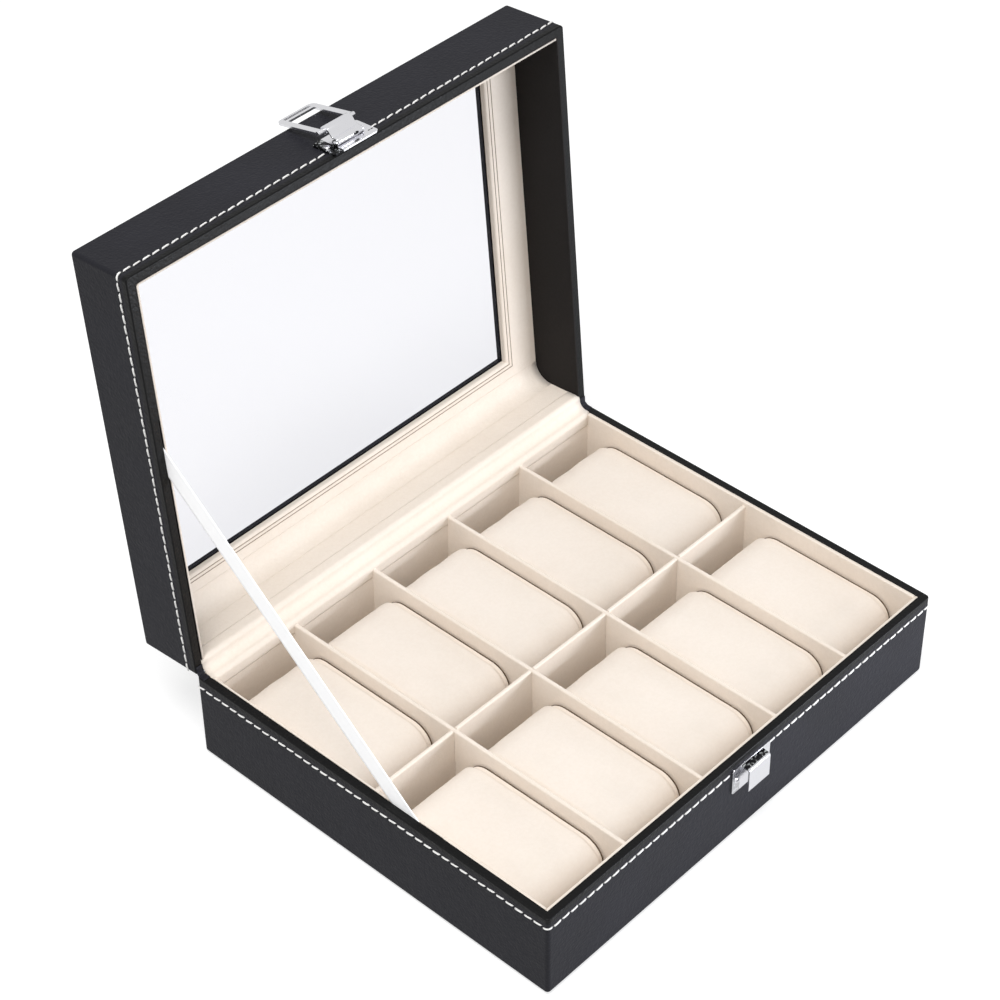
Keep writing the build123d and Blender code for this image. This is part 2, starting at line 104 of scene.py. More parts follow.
class Finish:
    """A material with one Principled shader, built node by node."""

    def __init__(self, name):
        self.material = bpy.data.materials.new(name)
        self.material.use_nodes = True
        self.tree = self.material.node_tree
        self.tree.nodes.clear()
        self.shader = self.tree.nodes.new("ShaderNodeBsdfPrincipled")
        self.surface = self.tree.nodes.new("ShaderNodeOutputMaterial")
        self.tree.links.new(self.shader.outputs[0], self.surface.inputs[0])

    def put(self, node, sockets):
        """Sets or links a node's inputs, by name or number."""
        for key, value in sockets.items():
            if isinstance(value, Socket):
                self.tree.links.new(value.output, node.inputs[key])
            else:
                node.inputs[key].default_value = value

    def node(self, kind, settings=None, sockets=None, output=0):
        """Adds a node, with its settings first and then its inputs, and returns one output."""
        made = self.tree.nodes.new(kind)
        for key, value in (settings or {}).items():
            setattr(made, key, value)
        self.put(made, sockets or {})
        return Socket(self, made.outputs[output])

    def place(self):
        """Object coordinates, which are metres in the row's frame."""
        return self.node("ShaderNodeTexCoord", output="Object")

    def noise(self, place, scale, detail=3.0, roughness=0.5):
        """Cloudy noise from 0 to 1, with scale lumps to the metre and detail finer octaves."""
        sockets = {"Vector": place, "Scale": scale, "Detail": detail, "Roughness": roughness}
        return self.node("ShaderNodeTexNoise", None, sockets)

    def cells(self, place, scale):
        """Distance to the nearest of scattered points, smoothed, with scale points to the metre."""
        return self.node("ShaderNodeTexVoronoi", {"feature": "SMOOTH_F1"}, {"Vector": place, "Scale": scale})

    def along(self, place, direction):
        """Distance along a direction, as a number."""
        sockets = {0: place, 1: tuple(direction)}
        return self.node("ShaderNodeVectorMath", {"operation": "DOT_PRODUCT"}, sockets, "Value")

    def colour(self, factor, first, second):
        """A colour that goes from first to second with factor."""
        sockets = {0: factor, 6: first, 7: second}
        return self.node("ShaderNodeMix", {"data_type": "RGBA"}, sockets, 2)

    def bump(self, height, distance, strength=1.0, under=None):
        """A normal tilted by the slope of a height from 0 to 1, which stands for distance in metres."""
        sockets = {"Height": height, "Distance": distance, "Strength": strength}
        if under is not None:
            sockets["Normal"] = under
        return self.node("ShaderNodeBump", None, sockets)

    def set(self, **sockets):
        """Principled inputs, with spaces written as underscores. Returns the material."""
        self.put(self.shader, {key.replace("_", " "): value for key, value in sockets.items()})
        return self.material


def rgb(red, green, blue):
    """An opaque colour, from linear values."""
    return (red, green, blue, 1.0)


def refinish(node, material):
    """Gives a CAD node its material."""
    slots = nodes[node].data.materials
    slots.clear()
    slots.append(material)


fibre = Finish("fibreboard")
fibre_flecks = fibre.noise(fibre.place(), 900.0, 5.0, 0.7)
fibre.set(
    Base_Color=fibre.colour(fibre_flecks, rgb(0.30, 0.20, 0.12), rgb(0.52, 0.40, 0.26)),
    Roughness=0.9,
    Normal=fibre.bump(fibre_flecks, 0.2 * MM, 0.4),
)
for name in nodes:
    if "_wall_" in name or name in ("base_floor", "lid_roof_board"):
        refinish(name, fibre.material)
underside = Finish("underside_flock")
underside_nap = underside.noise(underside.place(), 1800.0, 3.0, 0.7)
underside.set(
    Base_Color=underside.colour(underside_nap, rgb(0.010, 0.010, 0.011), rgb(0.030, 0.030, 0.032)),
    Roughness=0.95,
    Normal=underside.bump(underside_nap, 0.2 * MM, 0.5),
)
refinish("base_underside_sheet", underside.material)


# Leatherette covering
# Black coated cloth with a fine pebble grain, glued over the boards and turned in at the rims. A
# sewn line runs round each half near the rim and pulls the covering in, and the roll over the rim
# is coloured blacker than the body and is smoother.
stitch_inset = 5.2 * MM
sewn_half_width = 1.0 * MM
sewn_depth = 0.5 * MM
grain_depth = 0.24 * MM
ripple_depth = 1.6 * MM
rim_roll = 1.9 * MM
rim_depth = 3.6 * MM
leather_black = rgb(0.0120, 0.0120, 0.0165)
leather_worn = rgb(0.0200, 0.0200, 0.0265)
leather_rim = rgb(0.0030, 0.0030, 0.0032)

# The lid is stored open: its own directions are those of the shut lid, turned back about the
# hinge. A point of the lid is written as (x, y, z) from the hinge line with the lid shut.
hinge = np.array(joints["lid_hinge"]["pos_m"])
open_angle = math.radians(-joints["lid_hinge"]["range_deg"][0])
lid_back = np.array([0, math.cos(open_angle), -math.sin(open_angle)])
lid_up = np.array([0, math.sin(open_angle), math.cos(open_angle)])
lid_axes = np.array([[1, 0, 0], lid_back, lid_up])


def from_lid(points):
    """Shut-lid places to the row's frame: x along the hinge, y and z along the open lid's directions."""
    return hinge + np.asarray(points, float) @ lid_axes


def node_points(node):
    """All corners of a CAD node's mesh, one to a row."""
    mesh = nodes[node].data
    points = np.empty(len(mesh.vertices) * 3, np.float32)
    mesh.vertices.foreach_get("co", points)
    return points.reshape(-1, 3)


def lid_box(node):
    """Lowest and highest corner of a node in shut-lid places."""
    local = (node_points(node) - hinge) @ lid_axes.T
    return local.min(0), local.max(0)


def leatherette(name, rim_point, inward):
    """Grain from rounded cells over creasing noise. The depth from the rim, measured inward, gives a
    dip along the sewn line and a smooth step from the rolled rim's black to the body's colour."""
    finish = Finish(name)
    place = finish.place()
    depth = finish.along(place, inward) - float(np.dot(rim_point, inward))
    patches = finish.noise(place, 28.0, 4.0)
    pebbles = finish.cells(place, 900.0)
    creases = finish.noise(place, 420.0, 5.0, 0.6)
    specks = finish.noise(place, 1500.0, 2.0).ramp(0.60, 0.78)
    sewn = abs(depth - stitch_inset).ramp(0.0, sewn_half_width)
    pulled = finish.bump(sewn, sewn_depth, 0.8)
    fine = finish.bump(pebbles * 0.8 + creases * 0.9, grain_depth, 0.6, pulled)
    inside = depth.ramp(rim_roll, rim_depth)
    worn = patches.ramp(0.35, 0.7) * 0.5 + specks * 0.5
    body = finish.colour(worn, leather_black, leather_worn)
    return finish.set(
        Base_Color=finish.colour(inside, leather_rim, body),
        Roughness=creases * 0.18 + patches * 0.12 + inside * 0.10 + 0.26,
        Specular_IOR_Level=0.18,
        Normal=finish.bump(patches, ripple_depth, 0.16, fine),
    )


tray_low, tray_high = (np.array(corner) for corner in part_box("base_wrap"))
lid_low, lid_high = lid_box("lid_wrap")
refinish("base_wrap", leatherette("leatherette_tray", (0, 0, tray_high[2]), (0, 0, -1)))
refinish("lid_wrap", leatherette("leatherette_lid", from_lid((0, 0, lid_low[2])), lid_up))


# Facings inside the lid
# Three strips of black lining card, glued inside the lid's front, left and right walls, which leave
# the back wall to the velvet. Their coated face is plain, and smoother than the covering.
facing = Finish("facing_black")
facing_place = facing.place()
facing_grain = facing.noise(facing_place, 700.0, 4.0)
facing_cloud = facing.noise(facing_place, 30.0, 3.0)
facing.set(
    Base_Color=facing.colour(facing_cloud, rgb(0.0075, 0.0062, 0.0060), rgb(0.0105, 0.0088, 0.0085)),
    Roughness=facing_grain * 0.15 + 0.60,
    Specular_IOR_Level=0.2,
    Normal=facing.bump(facing_grain, 0.10 * MM, 0.35),
)
for side in ("front", "left", "right"):
    refinish(f"lid_facing_{side}", facing.material)


# Velvet lining
# Short ivory pile glued over the lining cards, the dividers and the frame round the window. The
# pile lies in patches, brushed one way or the other, which look lighter or deeper.
pile_scale = 2200.0
pile_depth = 0.14 * MM
tuft_depth = 0.30 * MM
brush_depth = 0.9 * MM


def velvet(name, light, deep):
    """Patches of brushed pile over tufts and a fine nap, with a weak sheen."""
    finish = Finish(name)
    place = finish.place()
    brushed = finish.noise(place, 20.0, 4.0, 0.55)
    tufts = finish.noise(place, 620.0, 4.0, 0.65)
    nap = finish.noise(place, pile_scale, 3.0, 0.7)
    fluff = finish.cells(place, pile_scale * 0.6)
    tone = brushed.ramp(0.3, 0.7) * 0.45 + tufts.ramp(0.3, 0.7) * 0.35 + nap * 0.20
    soft = finish.bump(brushed, brush_depth, 0.14)
    matted = finish.bump(tufts, tuft_depth, 0.35, soft)
    return finish.set(
        Base_Color=finish.colour(tone, deep, light),
        Roughness=nap * 0.12 + 0.84,
        Specular_IOR_Level=0.2,
        Sheen_Weight=0.2,
        Sheen_Roughness=0.5,
        Normal=finish.bump(nap * 0.6 + fluff * 0.6, pile_depth, 0.5, matted),
    )


lining_velvet = velvet("velvet_lining", rgb(0.900, 0.815, 0.725), rgb(0.830, 0.735, 0.635))
for name in nodes:
    if "lining" in name or name.startswith("divider") or name == "lid_inner_frame":
        refinish(name, lining_velvet)


# Window pane
# One millimetre of clear sheet, held between the roof board and the lined frame. It is nearly
# invisible straight on, with a faint cool tint, and mirror-like at a low angle.
mirror_share = 0.35
mirror_least = 0.015
glass = Finish("pane_clear")
glass_smear = glass.noise(glass.place(), 14.0, 3.0)
glass.set(
    Base_Color=rgb(0.04, 0.04, 0.05),
    Roughness=glass_smear * 0.05 + 0.03,
    Specular_IOR_Level=0.6,
)
see_through = glass.node("ShaderNodeBsdfTransparent", None, {"Color": rgb(0.940, 0.940, 0.955)})
grazing = glass.node("ShaderNodeLayerWeight", None, {"Blend": 0.5}, "Facing")
mirrored = grazing * grazing * grazing * mirror_share + mirror_least
mixed = glass.node("ShaderNodeMixShader", None, {0: mirrored, 1: see_through})
glass.tree.links.new(glass.shader.outputs[0], mixed.output.node.inputs[2])
glass.tree.links.new(mixed.output, glass.surface.inputs[0])
refinish("lid_window_pane", glass.material)


# Sewn lines
# White waxed thread in long stitches through the covering, all round each half except where the
# hinge strip and the latch plates cover it. Each stitch dips into its holes and lies a little aslant.
rng = np.random.default_rng(7)
thread_radius = 0.44 * MM
stitch_length = 4.75 * MM
stitch_pitch = 5.05 * MM
stitch_slant = 0.26 * MM
stitch_wander = 0.09 * MM
slant_spread = (0.5, 1.3)
thread_spread = (0.88, 1.06)
thread_stand = 0.75
stitch_rings = 7
stitch_sides = 6
wall_corner = 1.8 * MM
plate_gap = float(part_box("catch_plate")[1][0]) + 1.5 * MM


def grid_faces(rows, columns, close_rows, close_columns):
    """Quads of a grid of rows by columns, as vertex numbers, wrapping where a direction closes."""
    row = np.arange(rows if close_rows else rows - 1)
    column = np.arange(columns if close_columns else columns - 1)
    r, c = np.meshgrid(row, column, indexing="ij")
    r2, c2 = (r + 1) % rows, (c + 1) % columns
    corners = [r * columns + c, r2 * columns + c, r2 * columns + c2, r * columns + c2]
    return np.stack(corners, -1).reshape(-1, 4)


def piece_from_grids(name, grids, material, close_rows=False, close_columns=False, weld=1e-7):
    """One smooth mesh object from several grids of points, each an array of (rows, columns, 3). An end
    row that has shrunk to a point or a line is welded, and the faces are turned outwards."""
    points, faces, start = [], [], 0
    for grid in grids:
        rows, columns = grid.shape[:2]
        points.append(grid.reshape(-1, 3))
        faces.append(grid_faces(rows, columns, close_rows, close_columns) + start)
        start += rows * columns
    mesh = bpy.data.meshes.new(name)
    mesh.from_pydata(np.concatenate(points).tolist(), [], np.concatenate(faces).tolist())
    mesh.polygons.foreach_set("use_smooth", np.ones(len(mesh.polygons), bool))
    mesh.materials.append(material)
    piece = bpy.data.objects.new(name, mesh)
    bpy.context.scene.collection.objects.link(piece)
    if weld:
        work = bmesh.new()
        work.from_mesh(mesh)
        bmesh.ops.remove_doubles(work, verts=work.verts, dist=weld)
        bmesh.ops.recalc_face_normals(work, faces=work.faces)
        if work.calc_volume(signed=True) < 0:
            bmesh.ops.reverse_faces(work, faces=work.faces)
        work.to_mesh(mesh)
        work.free()
    return piece


def round_angles(count):
    """Angles evenly spaced round a circle."""
    return np.linspace(0, 2 * math.pi, count, endpoint=False)


def wall_line(low, high, radius):
    """Length of a rounded rectangle from its back left corner round the front to its back right, and a
    function that turns distances along it into points and outward normals in plan."""
    x0, x1, y0, y1 = low[0], high[0], low[1], high[1]
    side = (y1 - y0) - radius
    front = (x1 - x0) - 2 * radius
    quarter = math.pi / 2 * radius
    stops = np.cumsum([side, quarter, front, quarter, side])

    def at(distance):
        """Corners turn the normal by a quarter each, and the arc's centre moves along the straights."""
        turn = np.clip((distance - stops[0]) / quarter, 0, 1) * math.pi / 2
        turn = turn + np.clip((distance - stops[2]) / quarter, 0, 1) * math.pi / 2
        normal = np.stack([-np.cos(turn), -np.sin(turn)], -1)
        down = np.clip(distance, 0, stops[0])
        across = np.clip(distance - stops[1], 0, front)
        up = np.clip(distance - stops[3], 0, side)
        centre = np.stack([x0 + radius + across, y1 - down + up], -1)
        return centre + normal * radius, normal

    return stops[-1], at


def stitches(name, low, high, height, to_frame, material, body):
    """Short tubes along the wall line, none under the latch plates. With s from -1 to 1 along a stitch,
    its radius swells as the root of 1 - s^8, its middle stands off the wall as 1 - s^4, and it rises
    with s by its slant. Random draws vary each one's thickness, slant and level."""
    total, at = wall_line(low, high, wall_corner)
    starts = (np.arange(int(total / stitch_pitch)) + 0.5) * stitch_pitch
    middle, outward = at(starts)
    on_front = np.abs(outward[:, 1] + 1) < 0.01
    starts = starts[~(on_front & (np.abs(middle[:, 0]) < plate_gap))]
    along = np.linspace(-1, 1, stitch_rings)
    angle = round_angles(stitch_sides)
    grids = []
    for start in starts:
        point, normal = at(start + along * stitch_length / 2)
        swell = np.sqrt(np.clip(1 - along ** 8, 0, 1)) * thread_radius * rng.uniform(*thread_spread)
        stand = thread_radius * (thread_stand - thread_stand * along ** 4)
        level = height + along * stitch_slant * rng.uniform(*slant_spread) + rng.normal(0, stitch_wander)
        out = (stand[:, None] + np.cos(angle) * swell[:, None])[..., None] * normal[:, None, :]
        plan = point[:, None, :] + out
        rise = level[:, None] + np.sin(angle) * swell[:, None]
        grids.append(to_frame(np.concatenate([plan, rise[..., None]], -1)))
    row = piece_from_grids(name, grids, material, close_columns=True, weld=1e-6)
    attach(row, body)


thread = Finish("thread_white")
thread_twist = thread.noise(thread.place(), 2600.0, 2.0)
thread.set(
    Base_Color=thread.colour(thread_twist, rgb(0.90, 0.89, 0.86), rgb(0.98, 0.97, 0.96)),
    Roughness=0.62,
    Sheen_Weight=0.2,
    Normal=thread.bump(thread_twist, 0.10 * MM, 0.6),
)
tray_line = tray_high[2] - stitch_inset
lid_line = lid_low[2] + stitch_inset
stitches("tray_stitches", tray_low, tray_high, tray_line, np.asarray, thread.material, "case")
stitches("lid_stitches", lid_low, lid_high, lid_line, from_lid, thread.material, "lid")


# Pillows
# Ten soft blocks of foam in ivory velvet. Each is wrapped lengthways over two stiff end panels, so
# that its shoulders fall to the panels' edges. A thin cord marks the seam there, coloured dark brown
# as painted shade for the shadow gap between the end panel and the divider.
pillow_sides = 120
pillow_rings = 61
pillow_corner = 12.5 * MM
pillow_clearance = 0.1 * MM
end_fall = 1.7 * MM
end_round = 0.35 * MM
end_sag = 0.25 * MM
end_band = 2.7 * MM
shoulder = 4.5 * MM
crown_rise = 0.9 * MM
crown_drop = 0.6
wrinkle_height = 0.15 * MM
wrinkle_waves = (8, 80)
pucker_height = 0.12 * MM
pucker_waves = 420
pucker_spread = 1.6 * MM
pucker_place = 0.7 * shoulder
cap_scales = np.array([0.97, 0.6, 0.3, 0.0])
cord_radius = 0.42 * MM
cord_sides = 8


def rounded_section(half_length, half_height, radius, count):
    """Points and outward normals round a rounded rectangle, evenly spaced along its outline."""
    flat_y, flat_z = half_length - radius, half_height - radius
    lengths = np.array([2 * flat_z, math.pi / 2 * radius, 2 * flat_y, math.pi / 2 * radius] * 2)
    stops = np.concatenate([[0], np.cumsum(lengths)])
    d = np.linspace(0, stops[-1], count, endpoint=False)
    turn = sum(np.clip((d - stops[i]) / lengths[i], 0, 1) for i in (1, 3, 5, 7)) * math.pi / 2
    normal = np.stack([np.cos(turn), np.sin(turn)], -1)
    run = [np.clip(d - stops[i], 0, lengths[i]) for i in (0, 2, 4, 6)]
    centre_y = flat_y - run[1] + run[3]
    centre_z = -flat_z + run[0] - run[2]
    return np.stack([centre_y, centre_z], -1) + normal * radius, normal


def pillow_shape(low, high, phase):
    """Rings of a tube along X over the rounded section, from end to end, and the section's normals. With
    s from -1 to 1 along the pillow, the section draws in by a smooth step over the shoulder at each end,
    down to a flat band beside the cord, and the top rises in a parabola. Low waves of s and of the place
    round the section leave it uneven, and short puckers gather at the shoulder."""
    middle, half = (low + high) / 2, (high - low) / 2
    outline, normal = rounded_section(half[1], half[2], pillow_corner, pillow_sides)
    y, z = outline[:, 0], outline[:, 1]
    s = np.sin(np.linspace(-1, 1, pillow_rings) * math.pi / 2) * (1 - pillow_clearance / half[0])
    from_end = (1 - np.abs(s)) * half[0]
    inner = 1 - s ** 4
    step = np.clip((shoulder - from_end) / (shoulder - end_band), 0, 1)
    draw = end_fall * step * step * (3 - 2 * step) + end_sag * s ** 4
    draw = draw + end_round * np.clip(1 - from_end / end_band, 0, 1) ** 2
    wrinkle = wrinkle_height * np.sin(s * wrinkle_waves[0] + phase)[:, None]
    wrinkle = wrinkle * np.sin(y * wrinkle_waves[1] + 2 * phase)
    gather = np.exp(-(((from_end - pucker_place) / pucker_spread) ** 2))
    pucker = pucker_height * np.sin(y * pucker_waves + 3 * phase) * gather[:, None]
    uneven = wrinkle * inner[:, None] + pucker
    section = outline - normal * (draw[:, None] - uneven)[..., None]
    top = np.clip(z / half[2], 0, 1) ** 2
    crown = crown_rise * top * (1 - (y / half[1]) ** 2)
    rings = np.empty((pillow_rings, pillow_sides, 3))
    rings[..., 0] = middle[0] + (s * half[0])[:, None]
    rings[..., 1] = middle[1] + section[..., 0]
    rings[..., 2] = middle[2] + section[..., 1] + inner[:, None] * crown - crown_rise * crown_drop * top
    return rings, normal


def pillow(name, low, high, phase):
    """The pillow's body, closed by flat end panels whose rings shrink to the middle, and its two cords,
    each a thin closed tube that follows an end ring, sunk into the velvet to half its thickness."""
    rings, normal = pillow_shape(low, high, phase)
    centre = ((low + high) / 2)[1:]
    angle = round_angles(cord_sides)
    ends, cords = [], []
    for ring, way in ((rings[0], -1), (rings[-1], 1)):
        cap = np.repeat(ring[None], len(cap_scales), 0)
        cap[..., 1:] = centre + (ring[None, :, 1:] - centre) * cap_scales[:, None, None]
        ends.append(cap)
        cord = np.repeat(ring[:, None], cord_sides, 1)
        cord[..., 0] += way * (np.cos(angle) - 1.0) * cord_radius
        cord[..., 1:] += normal[:, None] * (np.sin(angle) * cord_radius)[None, :, None]
        cords.append(cord)
    grid = np.concatenate([ends[0][::-1], rings, ends[1]])
    body = piece_from_grids(name, [grid], pillow_velvet, close_columns=True)
    return body, piece_from_grids(f"{name}_cords", cords, cord_brown, True, True)


pillow_velvet = velvet("velvet_pillow", rgb(0.905, 0.825, 0.745), rgb(0.845, 0.755, 0.665))
# The cord's dark brown is painted shade: it stands for the shadow gap at each end of the pillow.
cord_finish = Finish("cord_brown")
cord_twist = cord_finish.noise(cord_finish.place(), 1800.0, 2.0)
cord_brown = cord_finish.set(
    Base_Color=cord_finish.colour(cord_twist, rgb(0.050, 0.030, 0.015), rgb(0.12, 0.075, 0.040)),
    Roughness=0.85,
    Normal=cord_finish.bump(cord_twist, 0.1 * MM, 0.5),
)
for number in range(1, 11):
    cover = f"pillow_cover_{number}"
    low, high = (np.array(corner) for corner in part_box(cover))
    soft, cords = pillow(f"pillow_{number}", low, high, rng.uniform(0, 6.28))
    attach(soft, f"pillow_{number}")
    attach(cords, f"pillow_{number}")
    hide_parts(cover, f"pillow_core_{number}")


# Hinge cloth
# The velvet of the two back linings is one cloth: it runs over the tray's back rim, down into the
# hinge's fold and up the lid's rim.
cloth_thickness = 0.12 * MM
cloth_lift = 0.05 * MM
cloth_sink = 0.14 * MM
cloth_skirt = 7.0 * MM
roll_radius = 2.1 * MM
fold_radius = 4.1 * MM
straight_points = 6
crumple_waves = 23
crumple_per_mm = 2.6
drift_per_mm = 1.9
drift_size = 1.5


def strip(name, profile, ends, thickness, material, columns=60, crumple=0.0):
    """A band along X between its ends: the profile in Y and Z is carried along it, and its second side
    lies one thickness away along the profile's normal. Each end closes on the line halfway between the
    two sides. With crumple, sines of the place along and across the band lift it off what it lies on."""
    step = np.gradient(profile, axis=0)
    step = step / np.linalg.norm(step, axis=1)[:, None]
    normal = np.stack([-step[:, 1], step[:, 0]], -1)
    loop = np.concatenate([profile, (profile + normal * thickness)[::-1]])
    lift = np.concatenate([normal, normal[::-1]]) * np.sign(thickness)
    x = np.linspace(ends[0], ends[1], columns)
    across = np.linspace(0, 1, len(profile))
    across = np.concatenate([across, across[::-1]])
    drift = np.sin(x / MM * drift_per_mm)[:, None] * drift_size
    folds = np.sin(across * crumple_waves + drift) * np.sin(x / MM * crumple_per_mm)[:, None]
    folds = (folds + 1) / 2 * np.sin(across * math.pi)
    grid = np.empty((columns, len(loop), 3))
    grid[..., 0] = x[:, None]
    grid[..., 1:] = loop[None] + (folds * crumple)[..., None] * lift[None]
    outer = grid[[0, -1]]
    caps = (outer + outer[:, ::-1]) / 2
    whole = np.concatenate([caps[:1], grid, caps[1:]])
    return piece_from_grids(name, [whole], material, close_columns=True)


def bend_path(corners, radii, count=9):
    """Straight runs through the corners, with a tangent arc of its own radius at each inner corner."""
    corners = [np.array(corner, float) for corner in corners]
    path, start = [], corners[0]
    run = np.linspace(0, 1, straight_points)[:, None]
    t = np.linspace(0, 1, count)[:, None]
    for before, corner, after, radius in zip(corners, corners[1:], corners[2:], radii):
        a = (before - corner) / np.linalg.norm(before - corner)
        b = (after - corner) / np.linalg.norm(after - corner)
        half = math.acos(np.clip(a @ b, -1, 1)) / 2
        reach = radius / math.tan(half)
        centre = corner + (a + b) / np.linalg.norm(a + b) * radius / math.sin(half)
        first, last = corner + a * reach, corner + b * reach
        arc = first + t * (last - first) - centre
        arc = centre + arc / np.linalg.norm(arc, axis=1)[:, None] * radius
        path += [start + (first - start) * run[:-1], arc[:-1]]
        start = last
    path.append(start + (corners[-1] - start) * run)
    return np.concatenate(path)


lining_low, lining_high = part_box("base_lining_back")
lid_lining_low = lid_box("lid_lining_back")[0]
cloth_half = float(lining_high[0]) - 0.2 * MM
tray_face = float(lining_low[1]) - cloth_lift - cloth_thickness
tray_top = float(lining_high[2]) + cloth_lift
lid_face = float(lid_lining_low[1]) - cloth_lift - cloth_thickness
lid_edge = float(lid_lining_low[2]) - cloth_lift - cloth_thickness
cloth_corners = [
    (tray_face + cloth_sink, tray_top - cloth_skirt),
    (tray_face, tray_top),
    (from_lid([0, 0, lid_edge])[1], tray_top),
    from_lid([0, lid_face, lid_edge])[1:],
    from_lid([0, lid_face + cloth_sink, lid_edge + cloth_skirt])[1:],
]
cloth_profile = bend_path(cloth_corners, (roll_radius, fold_radius, roll_radius))
hinge_cloth = strip("hinge_cloth", cloth_profile, (-cloth_half, cloth_half), cloth_thickness, lining_velvet)
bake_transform(hinge_cloth)


# Lid cove
# Where the roof's frame meets the lid's back lining, the velvet isn't cut at the corner: it runs on
# from one to the other in a hollow curve, from facing to facing, glued to both.
cove_radius = 9.0 * MM
cove_run = cove_radius + 0.6 * MM
cove_frame = float(lid_box("lid_inner_frame")[0][2]) - cloth_lift
cove_back = lid_face + cloth_thickness
cove_half = float(lid_box("lid_facing_right")[0][0]) - cloth_lift
cove_corners = [(cove_back - cove_run, cove_frame), (cove_back, cove_frame),
                (cove_back, cove_frame - cove_run)]
cove_points = bend_path(cove_corners, (cove_radius,), 17)
cove_profile = from_lid(np.column_stack([np.zeros(len(cove_points)), cove_points]))[:, 1:]
cove = strip("lid_cove", cove_profile, (-cove_half, cove_half), -cloth_thickness, lining_velvet)
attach(cove, "lid")


# Window seams
# Two fine sewn lines run round the window in the lid's lined frame: one where the velvet turns into
# the opening and one a little way out, both closed rings with mitred corners.
pane_lap = 8.0 * MM
seam_offsets = (1.6 * MM, 3.6 * MM)
seam_radius = 0.20 * MM
seam_sides = 6
seam_points = 30


def seam_ring(out):
    """A closed tube round the window, out from its edge, half sunk in the frame's face."""
    x = window_high[0] - pane_lap + out
    y0, y1 = window_low[1] + pane_lap - out, window_high[1] - pane_lap + out
    ring = np.array([[-x, y0], [x, y0], [x, y1], [-x, y1]])
    t = np.linspace(0, 1, seam_points, endpoint=False)[:, None]
    plan = np.concatenate([ring[i] + (ring[(i + 1) % 4] - ring[i]) * t for i in range(4)])
    from_middle = plan - ring.mean(0)
    at_edge = np.abs(np.abs(from_middle) - (ring[2] - ring.mean(0))) < 1e-6
    outward = np.sign(from_middle) * at_edge
    angle = round_angles(seam_sides)
    tube = np.empty((len(plan), seam_sides, 3))
    tube[..., :2] = plan[:, None] + outward[:, None] * (np.cos(angle) * seam_radius)[None, :, None]
    tube[..., 2] = cove_frame - np.sin(angle) * seam_radius
    return from_lid(tube)


window_low, window_high = lid_box("lid_window_pane")
seam_finish = Finish("seam_beige")
seam_tone = seam_finish.noise(seam_finish.place(), 1500.0, 2.0)
seam_beige = seam_finish.set(
    Base_Color=seam_finish.colour(seam_tone, rgb(0.20, 0.15, 0.11), rgb(0.42, 0.34, 0.26)),
    Roughness=0.9,
    Normal=seam_finish.bump(seam_tone, 0.1 * MM, 0.5),
)
seam_rings = [seam_ring(out) for out in seam_offsets]
window_seams = piece_from_grids("window_seams", seam_rings, seam_beige, True, True)
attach(window_seams, "lid")


# Lid edge piping
# A fine cord in the lining's ivory velvet is glued into the rim where the black facings of the left
# and front walls end. It is one piece, bent round the front left corner.
piping_radius = 0.70 * MM
piping_stand = 0.95 * piping_radius
piping_bend = 1.5 * MM
piping_gap = 0.3 * MM
piping_rim_gap = 0.1 * MM
piping_sides = 8
piping_x = float(lid_box("lid_facing_left")[1][0]) + piping_stand
piping_y = float(lid_box("lid_facing_front")[1][1]) + piping_stand
piping_z = lid_low[2] + piping_rim_gap + piping_radius
piping_back = float(lid_lining_low[1]) - piping_gap
piping_right = float(lid_box("lid_facing_right")[0][0]) - piping_gap


def closed_ends(rings):
    """The rings, with the middle of the first and of the last as one more ring at each end."""
    middles = np.repeat(rings[[0, -1]].mean(1, keepdims=True), rings.shape[1], 1)
    return np.concatenate([middles[:1], rings, middles[1:]])


def level_tube(corners, bend, radius, sides):
    """A tube round a bent path that stays level. Each ring is a circle across the path."""
    plan = bend_path(corners, (bend,) * (len(corners) - 2))
    step = np.gradient(plan, axis=0)
    step = step / np.linalg.norm(step, axis=1)[:, None]
    across = np.stack([-step[:, 1], step[:, 0]], -1)
    angle = round_angles(sides)
    rings = np.zeros((len(plan), sides, 3))
    rings[..., :2] = plan[:, None] + across[:, None] * (np.cos(angle) * radius)[None, :, None]
    rings[..., 2] = np.sin(angle) * radius
    return closed_ends(rings)


piping_path = [(piping_x, piping_back), (piping_x, piping_y), (piping_right, piping_y)]
piping_rings = level_tube(piping_path, piping_bend, piping_radius, piping_sides) + (0, 0, piping_z)
lid_piping = piece_from_grids("lid_piping", [from_lid(piping_rings)], lining_velvet, close_columns=True)
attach(lid_piping, "lid")


# Hinge spine
# A strip of the covering, glued flat to the backs of the tray and the lid along their whole width.
# It is the hinge itself.
spine_thickness = 0.7 * MM
spine_lift = 0.05 * MM
spine_flap = 14 * MM
spine_bend = 1.6 * MM
far_above = (0, 0, 1.0)
spine_leather = leatherette("leatherette_spine", far_above, (0, 0, -1))
spine_low, spine_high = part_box("hinge_spine")
spine_inner = hinge[1] + spine_lift
spine_corners = [
    from_lid([0, spine_lift, spine_flap])[1:],
    (spine_inner, hinge[2] - spine_lift),
    (spine_inner, spine_low[2]),
]
spine_profile = bend_path(spine_corners, (spine_bend,))
spine_ends = (float(spine_low[0]), float(spine_high[0]))
spine = strip("spine_strip", spine_profile, spine_ends, -spine_thickness, spine_leather)
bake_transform(spine)
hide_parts("hinge_spine")
